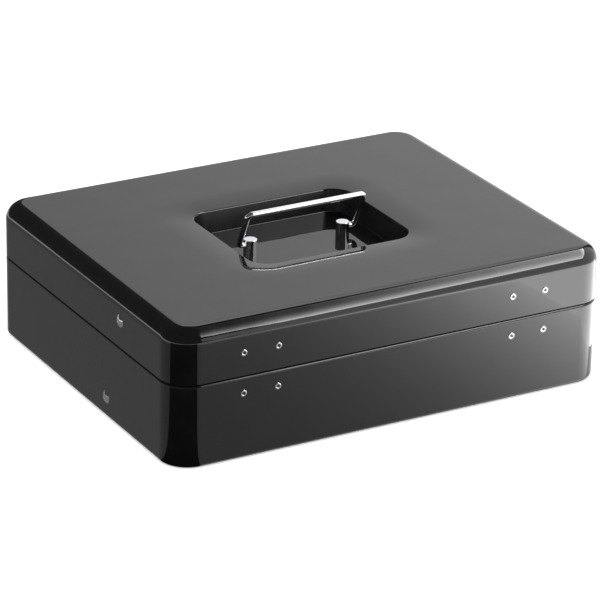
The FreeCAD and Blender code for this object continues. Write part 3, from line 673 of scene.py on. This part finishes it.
def side_softboxes():
    """A softbox on the -X side that leans over the box, above a weaker one that reaches the floor."""
    near_y = -0.45
    foot, waist, head = (-1.3, 0.02), (-1.17, 1.15), (-1.0, 2.6)
    card("softbox_side", leaning(waist[0], head[0], 2.3, near_y, waist[1], head[1]), 0.1, 13.0, 2, -2.2)
    card("softbox_low", leaning(foot[0], waist[0], 3.0, near_y, foot[1], waist[1]), 1.4, 1.4)


def backdrops():
    """The panel that the lid's flat top mirrors, and a second one above it."""
    a, b = (-1.25, -0.75), (-0.45, -1.45)
    low, middle, high = 0.05, 1.05, 2.0
    card("backdrop", upright(a, b, low, middle), 1.3, 0.7)
    card("backdrop_high", upright(a, b, middle, high), 1.1, 2.2, 2)


def floor_cards():
    """Cards on the floor along the box's visible walls."""
    x = span("base_pan", 0)[1] * MM
    y = span("base_pan", 1)[1] * MM
    r = CORNER_R * MM
    reach = 0.5
    flare = 0.2                 # how far the rear card's near edge slants away from the corner
    turn_x = -0.19              # past the far rear corner, where the rear card hands over to the right one
    end_x = turn_x - 0.35

    def flat(name, plan, low, high, power=1.0, z=FLOOR_CARD_Z):
        card(name, [(*p, z) for p in plan], low, high, 0, power)

    # a dim card along the short side, seen only in reflections, stands in for the floor's shade next to the
    # box: painted shade
    flat("card_side_painted_shade", [(x, -0.75), (x + reach, -0.75), (x + reach, y - r), (x, y - r)], 0.33, 0.33)
    rear = [(x - r, y), (x - r + flare, y + reach), (turn_x, y + reach), (turn_x, y)]
    flat("card_rear", rear, 0.5, 5.4, -6.0)
    flat("card_right", [(turn_x, y + reach), (end_x, y + reach), (end_x, 0.05), (turn_x, 0.05)], 6.0, 6.0)
    # a black card keeps the white floor out of the nearest corner
    wedge = [(x, y - r), (x + 1.0, y - r), (x + 1.0, y + 1.4), (x - r - 0.19, y + 1.4), (x - r, y)]
    flat("card_corner", wedge, 0.0, 0.0, z=FLOOR_CARD_Z * 1.5)


def floor():
    material = bpy.data.materials.new("floor")
    material.use_nodes = True
    shader = material.node_tree.nodes["Principled BSDF"]
    shader.inputs["Base Color"].default_value = (FLOOR_WHITE, FLOOR_WHITE, FLOOR_WHITE, 1)
    shader.inputs["Roughness"].default_value = 0.9
    shader.inputs["Specular IOR Level"].default_value = 0.0
    shader.inputs["Emission Color"].default_value = (1, 1, 1, 1)
    shader.inputs["Emission Strength"].default_value = FLOOR_GLOW
    s = FLOOR_HALF
    stage_mesh("floor", [(-s, -s, 0), (s, -s, 0), (s, s, 0), (-s, s, 0)], material)


def world():
    """White to the camera and to the floor, and a dim room in reflections."""
    studio_world = bpy.data.worlds.new("studio")
    bpy.context.scene.world = studio_world
    studio_world.use_nodes = True
    tree = studio_world.node_tree
    tree.nodes.clear()
    out = tree.nodes.new("ShaderNodeOutputWorld")
    ray = tree.nodes.new("ShaderNodeLightPath")
    mix = tree.nodes.new("ShaderNodeMixShader")
    tree.links.new(ray.outputs["Is Glossy Ray"], mix.inputs["Fac"])
    for socket, strength in ((1, WORLD_WHITE), (2, WORLD_ROOM)):
        background = tree.nodes.new("ShaderNodeBackground")
        background.inputs["Color"].default_value = (1, 1, 1, 1)
        background.inputs["Strength"].default_value = strength
        tree.links.new(background.outputs[0], mix.inputs[socket])
    tree.links.new(mix.outputs[0], out.inputs["Surface"])


def studio():
    floor()
    world()
    side_softboxes()
    backdrops()
    floor_cards()


def camera():
    """The photograph's view, fitted to the outline of the box."""
    target = Vector(TARGET_MM) * MM
    azimuth = math.radians(AZIMUTH)
    elevation = math.radians(ELEVATION)
    roll = math.radians(ROLL)
    back = Vector((math.sin(azimuth) * math.cos(elevation), -math.cos(azimuth) * math.cos(elevation),
                   math.sin(elevation)))
    level = Vector((math.cos(azimuth), math.sin(azimuth), 0))
    right = level * math.cos(roll) + back.cross(level) * math.sin(roll)
    data = bpy.data.cameras.new("camera")
    data.sensor_width = SENSOR_MM
    data.lens = LENS_MM
    data.clip_end = CLIP_END
    obj = bpy.data.objects.new("camera", data)
    bpy.context.scene.collection.objects.link(obj)
    pose = Matrix((right, back.cross(right), back)).transposed().to_4x4()
    pose.translation = target + back * DISTANCE
    obj.matrix_world = pose
    bpy.context.scene.camera = obj
    bpy.context.scene.view_settings.view_transform = "Standard"


build_lid()
build_base()
build_bail()
build_posts()
build_hinge_rivets()
dress_nodes()
studio()
camera()
